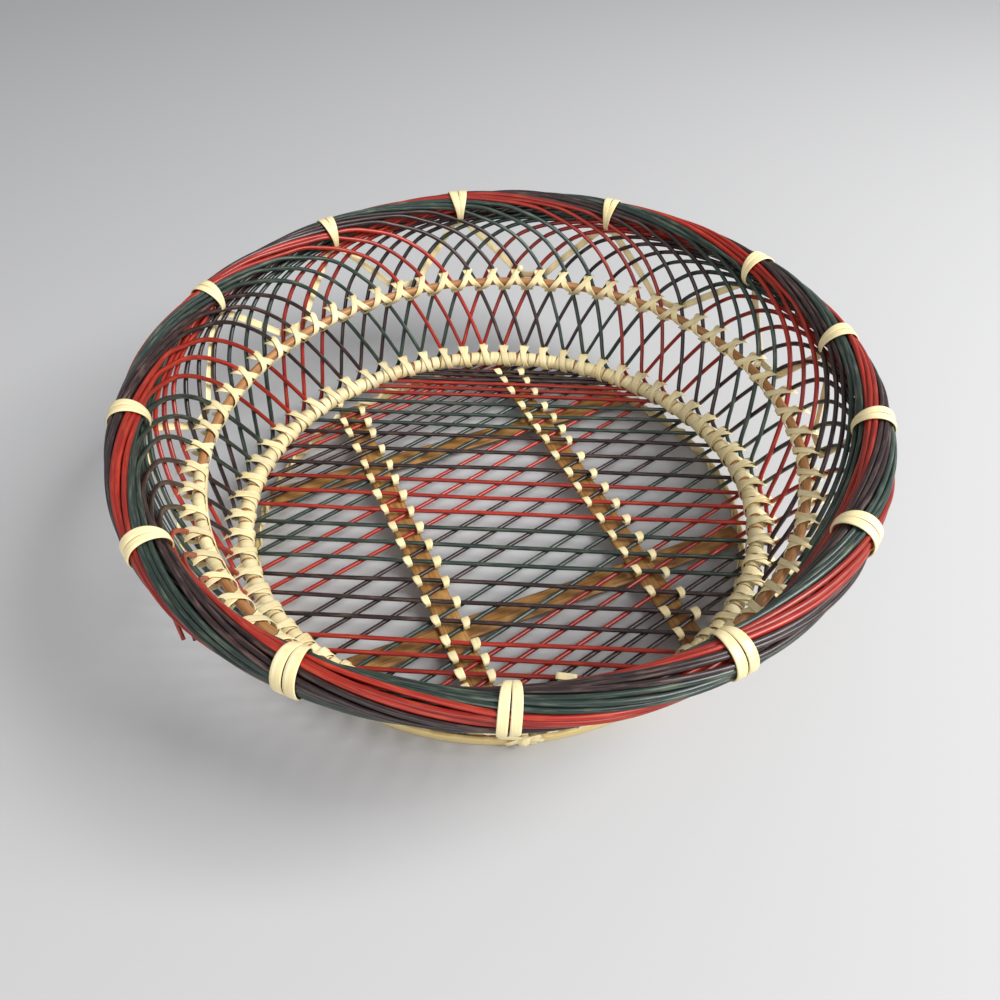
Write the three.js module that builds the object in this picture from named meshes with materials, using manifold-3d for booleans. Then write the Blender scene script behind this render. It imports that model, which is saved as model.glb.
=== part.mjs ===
import * as THREE from 'three';
import Module from 'manifold-3d';

const wasm = await Module();
wasm.setup();

// Round rattan basket, standing on the floor, +Z up, origin on the floor at its centre.
// Sixty-three rods make the wall. Each one is a long U: it comes down the inside of the wall,
// passes round the outside of the base hoop and climbs the outside of the wall the other way,
// so that the two halves of all the rods cross as an open trellis. Above, the rods roll over each
// other into a thick round border. The floor is a separate grid of rods and split-cane slats.

// Driving dimensions, in millimetres, and in degrees where a name says so
const RIM_DIAMETER = 300;
const RIM_ROLL_DIAMETER = 13;
const BASKET_HEIGHT = 93;
const LOWER_WALL_RADIUS = 120;
const MID_HOOP_HEIGHT = 52.5;
const MID_CROSSING_RISE = 5.9;
const LOWER_CROSSING_RISE = 4.5;
const ROD_DIAMETER = 2.1;
const ROD_CROSSING_GAP = 0.4;
const MIDDLE_BOW = 0.3;
const BASE_HOOP_DIAMETER = 6;
const MID_HOOP_DIAMETER = 5;
const FOOT_HOOP_INSET = 1;
const FOOT_HOOP_THICKNESS = 2;
const FOOT_HOOP_HEIGHT = 4;
const LOWER_SLAT_THICKNESS = 1.5;
const UPPER_SLAT_THICKNESS = 1.8;
const SLAT_WIDTH = 9;
const CANE_THICKNESS = 0.7;
const LASHING_WIDTH = 2.5;
const STITCH_WIDTH = 2;
const TIE_WIDTH = 4;
const TIE_SLIT = 0.5;
const MID_LASHING_HEIGHT = 9;
const LACING_CLEARANCE_TO_FLOOR = 0.5;
const BRACE_DROP_FROM_ROLL = 2;
const BRACE_START_DEGREES = 1.3;
const BRACE_SLACK = 0.08;
const JOINT_THICKNESS = 1;
const GAP = 0.3;

// Counts: the rods lie in triples of one colour, and the colours follow each other round
const TRIPLE_COUNT = 21;
const RODS_PER_TRIPLE = 3;
const LOWER_FLOOR_TRIPLES = 7;
const LACING_TEETH = 42;
const ROLL_SIDES = 10;
const TIE_FROM_CORNER = 4;
const TIE_TO_CORNER = -3;
const BRACE_SPANS = 3;
const HOOP_SIDES = 6;

// How far out the wall is at the middle hoop, on its way from the lower crossings to the border
const MIDDLE_WALL_SHARE = 0.45;

// A rod's halves cross the other rods at equal steps of angle from its lowest point. These are the
// crossings that give its shape, and those where its inner and outer half reach the border.
const LOWEST_STRETCH = 0.5;
const MID_CROSSINGS = [3, 4];
const UPPER_CROSSING = 5.5;
const INNER_END_CROSSING = 7.7;
const OUTER_END_CROSSING = 7.3;

// Above the middle crossings the rods lie down towards the border, more so with a higher power
const LYING_DOWN_POWER = 1.6;

// Where the rods meet the border's round section, in degrees from its outermost point upwards
const INNER_END_TURN = 190;
const OUTER_END_TURN = 230;

// Directions, in degrees anticlockwise from +X, seen from above
const FIRST_ROD_ANGLE = 187.57;
const UPPER_ROD_DIRECTION = -4.8;
const LOWER_ROD_DIRECTION = 33;
const UPPER_SLAT_DIRECTION = -68;
const LOWER_SLAT_DIRECTION = 21.5;

// Where the border is tied: by hand, so the steps aren't quite even
const TIE_ANGLES = [97, 65, 32.5, 7.5, -12.5, -36, -63, -89, -114, -143, -173, -203.5, -235];

// Places on the floor are in hundredths of the lower wall's radius, so that the floor keeps its
// pattern at any size. Each slat's distance from the axis is to its left as one looks along it.
const UPPER_SLAT_PLACES = [-37.75, 36.9];
const LOWER_SLAT_PLACES = [-44.2, 42.9];
const LOWER_ROD_PITCH_SHARE = 7.83;
const LOWER_ROD_SHIFT_SHARE = 4.2;
const SHORTEST_FLOOR_ROD_SHARE = 66.7;

// Triples of the upper floor rods, from the back to the front: middle rod and step between rods
const UPPER_FLOOR_TRIPLES = [
  { colour: 'purple', middle: 82.1, step: 3.2 },
  { colour: 'red', middle: 71.7, step: 4.2 },
  { colour: 'green', middle: 54.2, step: 7.4 },
  { colour: 'purple', middle: 30.2, step: 9.6 },
  { colour: 'red', middle: 4.2, step: 8.3 },
  { colour: 'green', middle: -21.1, step: 8.25 },
  { colour: 'purple', middle: -46.75, step: 8.5 },
  { colour: 'red', middle: -69.3, step: 6 },
  { colour: 'green', middle: -83.75, step: 2.9 },
];
const WALL_COLOURS = ['purple', 'green', 'red'];
const LOWER_FLOOR_COLOURS = ['red', 'purple', 'green'];

// Materials
const RED_CANE = { color: '#b23a32', roughness: 0.45 };
const GREEN_CANE = { color: '#3f5f5b', roughness: 0.45 };
const PURPLE_CANE = { color: '#4f3a48', roughness: 0.45 };
const PALE_CANE = { color: '#ece0b8', roughness: 0.5 };
const HOOP_CANE = { color: '#a57d55', roughness: 0.6 };
const SLAT_CANE = { color: '#7a5630', roughness: 0.6 };
const FOOT_CANE = { color: '#dcc592', roughness: 0.55 };
const ROD_FINISH = { red: RED_CANE, green: GREEN_CANE, purple: PURPLE_CANE };

const degrees = THREE.MathUtils.degToRad;
const rodCount = TRIPLE_COUNT * RODS_PER_TRIPLE;
const rodSpacing = 360 / rodCount;

// A round rod is drawn square here, with the same section area
const rodSide = ROD_DIAMETER * Math.sqrt(Math.PI) / 2;
const rodHalf = rodSide / 2;
const rodCorner = rodHalf * Math.SQRT2;
const crossingStep = ROD_DIAMETER + ROD_CROSSING_GAP;

// Heights of the floor's layers, each resting on the one below
const lowerSlatBottom = FOOT_HOOP_HEIGHT + GAP;
const upperSlatBottom = lowerSlatBottom + LOWER_SLAT_THICKNESS + GAP;
const lowerRodHeight = upperSlatBottom + UPPER_SLAT_THICKNESS + GAP + rodHalf;
const upperRodHeight = lowerRodHeight + rodSide + GAP;
const floorTop = upperRodHeight + rodHalf;

// The border, and the two hoops inside the wall
const rollRadius = RIM_ROLL_DIAMETER / 2;
const rimRadius = RIM_DIAMETER / 2 - rollRadius;
const rimHeight = BASKET_HEIGHT - rollRadius;
const middleWallRadius = LOWER_WALL_RADIUS + MIDDLE_WALL_SHARE * (rimRadius - LOWER_WALL_RADIUS);
const baseHoopHeight = floorTop + GAP + BASE_HOOP_DIAMETER / 2;
const sideSlant = Math.cos(Math.PI / HOOP_SIDES);
const sleeveInner = BASE_HOOP_DIAMETER / 2 + GAP / sideSlant;
const sleeveOuter = sleeveInner + CANE_THICKNESS / sideSlant;
const baseHoopRadius = LOWER_WALL_RADIUS - rodHalf - GAP - sleeveOuter * sideSlant;
const midHoopRadius = middleWallRadius - rodCorner - GAP - MID_HOOP_DIAMETER / 2;
const footHoopRadius = baseHoopRadius - FOOT_HOOP_INSET;

// A rod's end against the border, seen in the border's round section
function atRoll(sectionAngle) {
  const reach = rollRadius + GAP + rodCorner;
  const turn = degrees(sectionAngle);
  return { radius: rimRadius + reach * Math.cos(turn), height: rimHeight + reach * Math.sin(turn) };
}

// The inner and the outer half of a rod: radius at the lower crossing and at the middle hoop, and
// where it meets the border
const innerHalf = {
  lower: LOWER_WALL_RADIUS,
  middle: middleWallRadius,
  end: atRoll(INNER_END_TURN),
  endCrossing: INNER_END_CROSSING,
};
const outerHalf = {
  lower: LOWER_WALL_RADIUS + crossingStep,
  middle: middleWallRadius + crossingStep + MIDDLE_BOW,
  end: atRoll(OUTER_END_TURN),
  endCrossing: OUTER_END_CROSSING,
};
const lowerCrossingHeight = baseHoopHeight + LOWER_CROSSING_RISE;

function radiusAt(half, height) {
  if (height < MID_HOOP_HEIGHT) {
    const share = (height - lowerCrossingHeight) / (MID_HOOP_HEIGHT - lowerCrossingHeight);
    return half.lower + share * (half.middle - half.lower);
  }
  const share = (height - MID_HOOP_HEIGHT) / (half.end.height - MID_HOOP_HEIGHT);
  return half.middle + share * (half.end.radius - half.middle);
}

function heightAtCrossing(half, crossing) {
  const upperMid = MID_HOOP_HEIGHT + MID_CROSSING_RISE;
  const left = (half.endCrossing - crossing) / (half.endCrossing - MID_CROSSINGS[1]);
  return upperMid + (half.end.height - upperMid) * (1 - left ** LYING_DOWN_POWER);
}

function polar(angle, radius, height) {
  const turn = degrees(angle);
  return new THREE.Vector3(radius * Math.cos(turn), radius * Math.sin(turn), height);
}

// The wall's outward direction, square to its slope above or below the middle hoop
function wallNormal(angle, half, height) {
  const slope = radiusAt(half, height + 1) - radiusAt(half, height);
  return polar(angle, 1, -slope).normalize();
}

function rectangle(thickness, width) {
  const t = thickness / 2;
  const w = width / 2;
  return [[t, -w], [t, w], [-t, w], [-t, -w]];
}

// Sweeps a convex section along a path. Each path point has a place and an outward direction,
// and each section point is a distance outward and a distance across. Bends are mitred.
function sweep(path, section, closed = false) {
  const count = path.length;
  const vertices = [];
  const triangles = [];
  for (let i = 0; i < count; i += 1) {
    const before = path[closed ? (i + count - 1) % count : Math.max(i - 1, 0)].place;
    const here = path[i].place;
    const after = path[closed ? (i + 1) % count : Math.min(i + 1, count - 1)].place;
    const arriving = here.clone().sub(before).normalize();
    const leaving = after.clone().sub(here).normalize();
    const along = arriving.clone().add(leaving).normalize();
    const mitre = 1 / Math.max(along.dot(leaving), along.dot(arriving));
    const out = path[i].out.clone().addScaledVector(along, -path[i].out.dot(along)).normalize();
    const across = along.clone().cross(out);
    for (const [outward, sideways] of section) {
      const vertex = here.clone().addScaledVector(out, outward);
      vertices.push(...vertex.addScaledVector(across, sideways * mitre).toArray());
    }
  }
  const sides = section.length;
  const spans = closed ? count : count - 1;
  for (let i = 0; i < spans; i += 1) {
    const next = (i + 1) % count;
    for (let j = 0; j < sides; j += 1) {
      const k = (j + 1) % sides;
      triangles.push(i * sides + j, i * sides + k, next * sides + k);
      triangles.push(i * sides + j, next * sides + k, next * sides + j);
    }
  }
  if (!closed) {
    const last = (count - 1) * sides;
    for (let j = 1; j < sides - 1; j += 1) {
      triangles.push(0, j + 1, j);
      triangles.push(last, last + j, last + j + 1);
    }
  }
  return { vertices, triangles };
}

function geometryOf({ vertices, triangles }) {
  const geometry = new THREE.BufferGeometry();
  geometry.setAttribute('position', new THREE.Float32BufferAttribute(vertices, 3));
  geometry.setIndex(triangles);
  return geometry;
}

// Joins solids that reach into each other into one geometry
function joined(solids) {
  const parts = solids.map(({ vertices, triangles }) => new wasm.Manifold(new wasm.Mesh({
    numProp: 3,
    vertProperties: new Float32Array(vertices),
    triVerts: new Uint32Array(triangles),
  })));
  const whole = parts.reduce((sum, part) => sum.add(part)).getMesh();
  return geometryOf({ vertices: [...whole.vertProperties], triangles: [...whole.triVerts] });
}

// A short joint through two rods where they cross, from the middle of one to that of the other
function crossingJoint(from, to, out) {
  return sweep([{ place: from, out }, { place: to, out }], rectangle(JOINT_THICKNESS, JOINT_THICKNESS));
}

// A hoop about the basket's axis, from a closed section of [radius, height] points
function hoopGeometry(section) {
  const profile = [...section, section[0]].map(([radius, height]) => new THREE.Vector2(radius, height));
  const geometry = new THREE.LatheGeometry(profile, rodCount);
  geometry.rotateX(Math.PI / 2);
  return geometry;
}

// Corners of a round section, as [radius, height], between two angles in degrees
function arcOfSection(radius, height, reach, fromAngle, toAngle, spans) {
  const corners = [];
  for (let i = 0; i <= spans; i += 1) {
    const turn = degrees(fromAngle + (toAngle - fromAngle) * i / spans);
    corners.push([radius + reach * Math.cos(turn), height + reach * Math.sin(turn)]);
  }
  return corners;
}

const basket = new THREE.Group();
basket.name = 'rattan_basket';

function add(name, geometry, finish) {
  const material = new THREE.MeshStandardMaterial({ ...finish, metalness: 0 });
  const mesh = new THREE.Mesh(geometry, material);
  mesh.name = name;
  basket.add(mesh);
}

// Wall rods: the path of one half, from its lowest stretch up to the border
function halfPath(half, lowestAngle, direction) {
  const bottomRadius = (innerHalf.lower + outerHalf.lower) / 2;
  const bottomHeight = floorTop + GAP + rodHalf / 2;
  const heights = [
    [MID_CROSSINGS[0], MID_HOOP_HEIGHT - MID_CROSSING_RISE],
    [MID_CROSSINGS[1], MID_HOOP_HEIGHT + MID_CROSSING_RISE],
    [UPPER_CROSSING, heightAtCrossing(half, UPPER_CROSSING)],
  ];
  const stations = [
    [LOWEST_STRETCH, bottomRadius, bottomHeight],
    [1, half.lower, lowerCrossingHeight],
    ...heights.map(([crossing, height]) => [crossing, radiusAt(half, height), height]),
    [half.endCrossing, half.end.radius, half.end.height],
  ];
  return stations.map(([crossing, radius, height]) => {
    const angle = lowestAngle + direction * crossing * rodSpacing / 2;
    return { place: polar(angle, radius, height), out: wallNormal(angle, half, height) };
  });
}

function wallRod(index) {
  const lowestAngle = FIRST_ROD_ANGLE - rodSpacing * index;
  const down = halfPath(innerHalf, lowestAngle, 1).reverse();
  const up = halfPath(outerHalf, lowestAngle, -1);
  return sweep([...down, ...up], rectangle(rodSide, rodSide));
}

// Neighbouring rods are fastened to each other where they first cross, over the base hoop
function neighbourJoint(index) {
  const angle = FIRST_ROD_ANGLE - rodSpacing * (index + 0.5);
  const inner = polar(angle, innerHalf.lower, lowerCrossingHeight);
  const outer = polar(angle, outerHalf.lower, lowerCrossingHeight);
  return crossingJoint(inner, outer, new THREE.Vector3(0, 0, 1));
}

for (let triple = 0; triple < TRIPLE_COUNT; triple += 1) {
  const colour = WALL_COLOURS[triple % WALL_COLOURS.length];
  const first = triple * RODS_PER_TRIPLE;
  const pieces = [wallRod(first)];
  for (let i = 1; i < RODS_PER_TRIPLE; i += 1) {
    pieces.push(neighbourJoint(first + i - 1), wallRod(first + i));
  }
  add(`wall_rods_${colour}_${triple + 1}`, joined(pieces), ROD_FINISH[colour]);
}

// Rolled border: the upper ends of all the rods, rolled into one thick round edge
const rollStep = 360 / ROLL_SIDES;
const rollSection = arcOfSection(rimRadius, rimHeight, rollRadius, 0, 360 - rollStep, ROLL_SIDES - 1);
add('rolled_border', hoopGeometry(rollSection), GREEN_CANE);

// Base hoop, and the cane wound round it, which is open below, where the floor rods pass
const hoopStep = 360 / HOOP_SIDES;
const firstCorner = -hoopStep / 2;
const fullTurn = [firstCorner, firstCorner + 360 - hoopStep, HOOP_SIDES - 1];
const baseHoopSection = arcOfSection(baseHoopRadius, baseHoopHeight, BASE_HOOP_DIAMETER / 2, ...fullTurn);
add('base_hoop', hoopGeometry(baseHoopSection), HOOP_CANE);

const sleeveTurn = [firstCorner, firstCorner + 360 - 2 * hoopStep, HOOP_SIDES - 2];
const sleeveOutside = arcOfSection(baseHoopRadius, baseHoopHeight, sleeveOuter, ...sleeveTurn);
const sleeveInside = arcOfSection(baseHoopRadius, baseHoopHeight, sleeveInner, ...sleeveTurn);
add('base_lashing', hoopGeometry([...sleeveOutside, ...sleeveInside.reverse()]), PALE_CANE);

// Middle hoop, inside the wall, and its zigzag lashing
const midHoopSection = arcOfSection(midHoopRadius, MID_HOOP_HEIGHT, MID_HOOP_DIAMETER / 2, ...fullTurn);
add('mid_hoop', hoopGeometry(midHoopSection), HOOP_CANE);

// A closed zigzag of flat cane between two heights, with its first low point at an angle
function zigzag(teeth, radius, lowHeight, highHeight, firstAngle) {
  const path = [];
  for (let i = 0; i < 2 * teeth; i += 1) {
    const angle = firstAngle + 180 * i / teeth;
    const height = i % 2 ? highHeight : lowHeight;
    path.push({ place: polar(angle, radius, height), out: polar(angle, 1, 0) });
  }
  return sweep(path, rectangle(CANE_THICKNESS, LASHING_WIDTH), true);
}

const midLashingRadius = midHoopRadius - MID_HOOP_DIAMETER / 2 - GAP - CANE_THICKNESS / 2;
const midLashingHalf = (MID_LASHING_HEIGHT - LASHING_WIDTH) / 2;
const midLashing = zigzag(
  rodCount,
  midLashingRadius,
  MID_HOOP_HEIGHT - midLashingHalf,
  MID_HOOP_HEIGHT + midLashingHalf,
  FIRST_ROD_ANGLE + rodSpacing / 2,
);
add('mid_lashing', geometryOf(midLashing), PALE_CANE);

// Foot hoop, which the basket stands on, and the lacing between it and the base hoop
add('foot_hoop', hoopGeometry([
  [footHoopRadius - FOOT_HOOP_THICKNESS, 0],
  [footHoopRadius, 0],
  [footHoopRadius, FOOT_HOOP_HEIGHT],
  [footHoopRadius - FOOT_HOOP_THICKNESS, FOOT_HOOP_HEIGHT],
]), FOOT_CANE);

const lacingRadius = footHoopRadius + GAP + CANE_THICKNESS;
const lacingTurn = Math.atan2(lowerRodHeight, Math.PI * lacingRadius / LACING_TEETH);
const lacingMargin = LASHING_WIDTH / 2 / Math.cos(lacingTurn);
const lacing = zigzag(
  LACING_TEETH,
  lacingRadius,
  LACING_CLEARANCE_TO_FLOOR + lacingMargin,
  lowerRodHeight - rodHalf - GAP - lacingMargin,
  FIRST_ROD_ANGLE,
);
add('foot_lacing', geometryOf(lacing), PALE_CANE);

// A straight bar of the floor, cut to end inside a circle. The offset is to the left of its run.
function floorBar(direction, offset, width, thickness, height, endRadius) {
  const outerEdge = Math.abs(offset) + width / 2;
  const halfLength = Math.sqrt(Math.max(endRadius ** 2 - outerEdge ** 2, 0));
  const along = polar(direction, 1, 0);
  const centre = polar(direction + 90, offset, height);
  const up = new THREE.Vector3(0, 0, 1);
  const path = [-halfLength, halfLength].map((distance) => (
    { place: centre.clone().addScaledVector(along, distance), out: up }));
  return sweep(path, rectangle(thickness, width));
}

// Floor rods: an upper and a lower layer, in triples of one colour
const floorRodEnd = LOWER_WALL_RADIUS - ROD_DIAMETER / 2;
const floorUnit = LOWER_WALL_RADIUS / 100;
const shortestHalf = SHORTEST_FLOOR_ROD_SHARE * floorUnit / 2;
const widestOffset = Math.sqrt(floorRodEnd ** 2 - shortestHalf ** 2);

function fitsFloor(offset) {
  return Math.abs(offset) < widestOffset;
}

function floorRod(direction, offset, height) {
  return floorBar(direction, offset, rodSide, rodSide, height, floorRodEnd);
}

// Where an upper and a lower floor rod cross, at a height
function floorCrossing(upperOffset, lowerOffset, height) {
  const turn = degrees(LOWER_ROD_DIRECTION - UPPER_ROD_DIRECTION);
  const along = (upperOffset * Math.cos(turn) - lowerOffset) / Math.sin(turn);
  const across = polar(UPPER_ROD_DIRECTION + 90, upperOffset, height);
  return across.add(polar(UPPER_ROD_DIRECTION, along, 0));
}

// All the floor rods of one colour, fastened to each other at crossings. A crossing is used only
// if it ties in a rod that isn't tied in yet.
function floorRods(uppers, lowers) {
  const rods = [
    ...uppers.map((offset) => floorRod(UPPER_ROD_DIRECTION, offset, upperRodHeight)),
    ...lowers.map((offset) => floorRod(LOWER_ROD_DIRECTION, offset, lowerRodHeight)),
  ];
  const group = rods.map((rod, i) => i);
  const joints = [];
  uppers.forEach((upperOffset, i) => {
    lowers.forEach((lowerOffset, j) => {
      const below = floorCrossing(upperOffset, lowerOffset, lowerRodHeight);
      const inside = Math.hypot(below.x, below.y) < floorRodEnd - ROD_DIAMETER;
      const ours = group[i];
      const theirs = group[uppers.length + j];
      if (inside && ours !== theirs) {
        const above = floorCrossing(upperOffset, lowerOffset, upperRodHeight);
        joints.push(crossingJoint(below, above, polar(UPPER_ROD_DIRECTION, 1, 0)));
        group.forEach((name, k) => {
          if (name === theirs) group[k] = ours;
        });
      }
    });
  });
  return joined([...rods, ...joints]);
}

function upperOffsets(colour) {
  const places = [];
  for (const { middle, step } of UPPER_FLOOR_TRIPLES.filter((triple) => triple.colour === colour)) {
    places.push(middle + step, middle, middle - step);
  }
  return places.map((place) => place * floorUnit).filter(fitsFloor);
}

function lowerOffsets(colour) {
  const count = LOWER_FLOOR_TRIPLES * RODS_PER_TRIPLE;
  const offsets = [];
  for (let i = 0; i < count; i += 1) {
    const triple = Math.floor(i / RODS_PER_TRIPLE);
    if (LOWER_FLOOR_COLOURS[triple % LOWER_FLOOR_COLOURS.length] === colour) {
      const place = ((count - 1) / 2 - i) * LOWER_ROD_PITCH_SHARE + LOWER_ROD_SHIFT_SHARE;
      offsets.push(place * floorUnit);
    }
  }
  return offsets.filter(fitsFloor);
}

for (const colour of Object.keys(ROD_FINISH)) {
  add(`floor_rods_${colour}`, floorRods(upperOffsets(colour), lowerOffsets(colour)), ROD_FINISH[colour]);
}

// Slats under the floor rods: a lower pair on the foot hoop, and an upper pair across it
const slatEnd = footHoopRadius - GAP;
LOWER_SLAT_PLACES.forEach((share, i) => {
  const offset = share * floorUnit;
  const height = lowerSlatBottom + LOWER_SLAT_THICKNESS / 2;
  const slat = floorBar(LOWER_SLAT_DIRECTION, offset, SLAT_WIDTH, LOWER_SLAT_THICKNESS, height, slatEnd);
  add(`lower_slat_${i + 1}`, geometryOf(slat), SLAT_CANE);
});
UPPER_SLAT_PLACES.forEach((share, i) => {
  const offset = share * floorUnit;
  const height = upperSlatBottom + UPPER_SLAT_THICKNESS / 2;
  const slat = floorBar(UPPER_SLAT_DIRECTION, offset, SLAT_WIDTH, UPPER_SLAT_THICKNESS, height, slatEnd);
  add(`upper_slat_${i + 1}`, geometryOf(slat), SLAT_CANE);

  // Stitching, along both edges of the upper slat and over the upper rods
  const stitchHeight = floorTop + GAP + CANE_THICKNESS / 2;
  const stitchEnd = baseHoopRadius - sleeveOuter - GAP;
  [-SLAT_WIDTH / 2, SLAT_WIDTH / 2].forEach((edge, j) => {
    const place = offset + edge;
    const row = floorBar(UPPER_SLAT_DIRECTION, place, STITCH_WIDTH, CANE_THICKNESS, stitchHeight, stitchEnd);
    add(`slat_stitching_${2 * i + j + 1}`, geometryOf(row), PALE_CANE);
  });
});

// Border ties: two turns of flat cane side by side over the border, with a slit between them,
// open towards the rods that meet the border from below
function borderTie(angle) {
  const t = CANE_THICKNESS / 2;
  const slit = TIE_SLIT / 2;
  const edge = slit + TIE_WIDTH;
  const twoTurns = [[0, 0], [t, slit], [t, edge], [-t, edge], [-t, -edge], [t, -edge], [t, -slit]];
  const reach = rollRadius + (GAP + t) / Math.cos(Math.PI / ROLL_SIDES);
  const path = [];
  for (let corner = TIE_FROM_CORNER; corner >= TIE_TO_CORNER; corner -= 1) {
    const section = degrees(corner * rollStep);
    const radius = rimRadius + reach * Math.cos(section);
    const height = rimHeight + reach * Math.sin(section);
    path.push({
      place: polar(angle, radius, height),
      out: polar(angle, Math.cos(section), Math.sin(section)),
    });
  }
  return sweep(path, twoTurns);
}

TIE_ANGLES.forEach((angle, i) => {
  add(`border_tie_${i + 1}`, geometryOf(borderTie(angle)), PALE_CANE);
});

// Brace: one length of flat cane over the outside of the wall, down from each tie to the middle
// hoop, a little way along it, and up to the next tie
const braceTop = rimHeight - rollRadius - BRACE_DROP_FROM_ROLL;
const braceStandOff = rodHalf + GAP + CANE_THICKNESS / 2 + BRACE_SLACK;

// A slanting stretch of the brace, from one angle and height to another
function braceStretch(fromAngle, fromHeight, toAngle, toHeight) {
  const stretch = [];
  for (let i = 0; i <= BRACE_SPANS; i += 1) {
    const angle = fromAngle + (toAngle - fromAngle) * i / BRACE_SPANS;
    const height = fromHeight + (toHeight - fromHeight) * i / BRACE_SPANS;
    const out = wallNormal(angle, outerHalf, height);
    const place = polar(angle, radiusAt(outerHalf, height), height);
    stretch.push({ place: place.addScaledVector(out, braceStandOff), out });
  }
  return stretch;
}

const bracePath = [];
TIE_ANGLES.forEach((angle, i) => {
  const following = i + 1 < TIE_ANGLES.length ? TIE_ANGLES[i + 1] : TIE_ANGLES[0] - 360;
  const start = angle - BRACE_START_DEGREES;
  const finish = following + BRACE_START_DEGREES;
  const valley = (angle + following) / 2;
  const side = rodSpacing / 2;
  bracePath.push(...braceStretch(start, braceTop, valley + side, MID_HOOP_HEIGHT));
  bracePath.push(...braceStretch(valley - side, MID_HOOP_HEIGHT, finish, braceTop));
});
add('brace_cane', geometryOf(sweep(bracePath, rectangle(CANE_THICKNESS, TIE_WIDTH), true)), PALE_CANE);

export default basket;
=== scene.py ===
# %% [markdown]
# # A rattan basket
# The basket is sixty-three long rods, tied together with flat cane. This notebook builds its strands
# about where the real ones run, from a few formulas, and gives each kind of cane its own finish.
# Lengths are in millimetres until a mesh is made, and angles are in degrees, anticlockwise from +X
# seen from above. The first cell loads the model that says where every piece is.

# %% Load the basket's frame
import math

import bpy
import numpy as np
from mathutils import Matrix, Vector


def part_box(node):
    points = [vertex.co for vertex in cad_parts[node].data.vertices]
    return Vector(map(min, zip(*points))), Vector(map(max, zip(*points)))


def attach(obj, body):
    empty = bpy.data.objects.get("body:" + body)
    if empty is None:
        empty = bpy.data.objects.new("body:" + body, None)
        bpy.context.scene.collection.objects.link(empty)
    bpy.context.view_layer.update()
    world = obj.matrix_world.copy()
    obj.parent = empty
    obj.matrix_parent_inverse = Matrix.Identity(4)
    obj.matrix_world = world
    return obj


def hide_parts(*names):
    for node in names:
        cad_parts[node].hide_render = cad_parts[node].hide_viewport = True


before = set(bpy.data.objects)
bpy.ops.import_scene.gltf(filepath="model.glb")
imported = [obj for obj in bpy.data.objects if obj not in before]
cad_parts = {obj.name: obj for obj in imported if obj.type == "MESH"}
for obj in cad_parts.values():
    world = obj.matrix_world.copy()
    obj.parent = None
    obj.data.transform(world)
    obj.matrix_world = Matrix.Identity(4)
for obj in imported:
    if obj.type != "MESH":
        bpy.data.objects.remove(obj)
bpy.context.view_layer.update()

# %% [markdown]
# The hoops and the border of the frame are rings. Their middle radius and height are read from
# their boxes, so the dressed basket always follows the frame.

# %% Read the rings from the frame
MM = 0.001


def ring_of(node, half_width):
    """Middle radius, middle height, in millimetres: the box's outer radius less half the ring's width."""
    low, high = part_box(node)
    outer = max(high.x, -low.x, high.y, -low.y) / MM
    return outer - half_width, (low.z + high.z) / 2 / MM


ROLL_RADIUS = 6.5
BASE_HOOP_HALF = 3.0
MID_HOOP_HALF = 2.5
FOOT_HOOP_HALF = 1.0
rim_radius, rim_height = ring_of("rolled_border", ROLL_RADIUS)
base_radius, base_height = ring_of("base_hoop", BASE_HOOP_HALF)
mid_radius, mid_height = ring_of("mid_hoop", MID_HOOP_HALF)
foot_radius, foot_height = ring_of("foot_hoop", FOOT_HOOP_HALF)
print("border", round(rim_radius, 2), "wide and", round(rim_height, 2), "high")
print("base", round(base_radius, 2), "wide and", round(base_height, 2), "high")
print("middle", round(mid_radius, 2), "wide and", round(mid_height, 2), "high")

wall_nodes = sorted(
    (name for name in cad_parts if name.startswith("wall_rods_")),
    key=lambda name: int(name.rsplit("_", 1)[1]),
)
ROD_COUNT = 3 * len(wall_nodes)
ROD_SPACING = 360 / ROD_COUNT
ROD_RADIUS = 1.0
FIRST_ROD_ANGLE = 187.57
print(ROD_COUNT, "wall rods,", round(ROD_SPACING, 3), "degrees apart")

# %% [markdown]
# ## Helpers for strands
# Everything here is a strand: a section carried along a path. One function makes any of them. The
# path and its outward direction are whole arrays, and so is the section, so no loop runs over the
# vertices. Each strand also gets a UV map, u along it in centimetres and v once round it, and a
# number called tone, the same all along one strand, so that no two strands have quite one colour.

# %% Carry a section along a path
MM_IN_CM = 10


def polar(angle, radius, height):
    """Points x = R cos a, y = R sin a, z = h, from arrays of angle in degrees, radius and height."""
    turn = np.radians(angle)
    return np.stack(np.broadcast_arrays(radius * np.cos(turn), radius * np.sin(turn), height), axis=-1)


def unit(vectors):
    """Vectors divided by their length."""
    return vectors / np.linalg.norm(vectors, axis=-1, keepdims=True)


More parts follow.
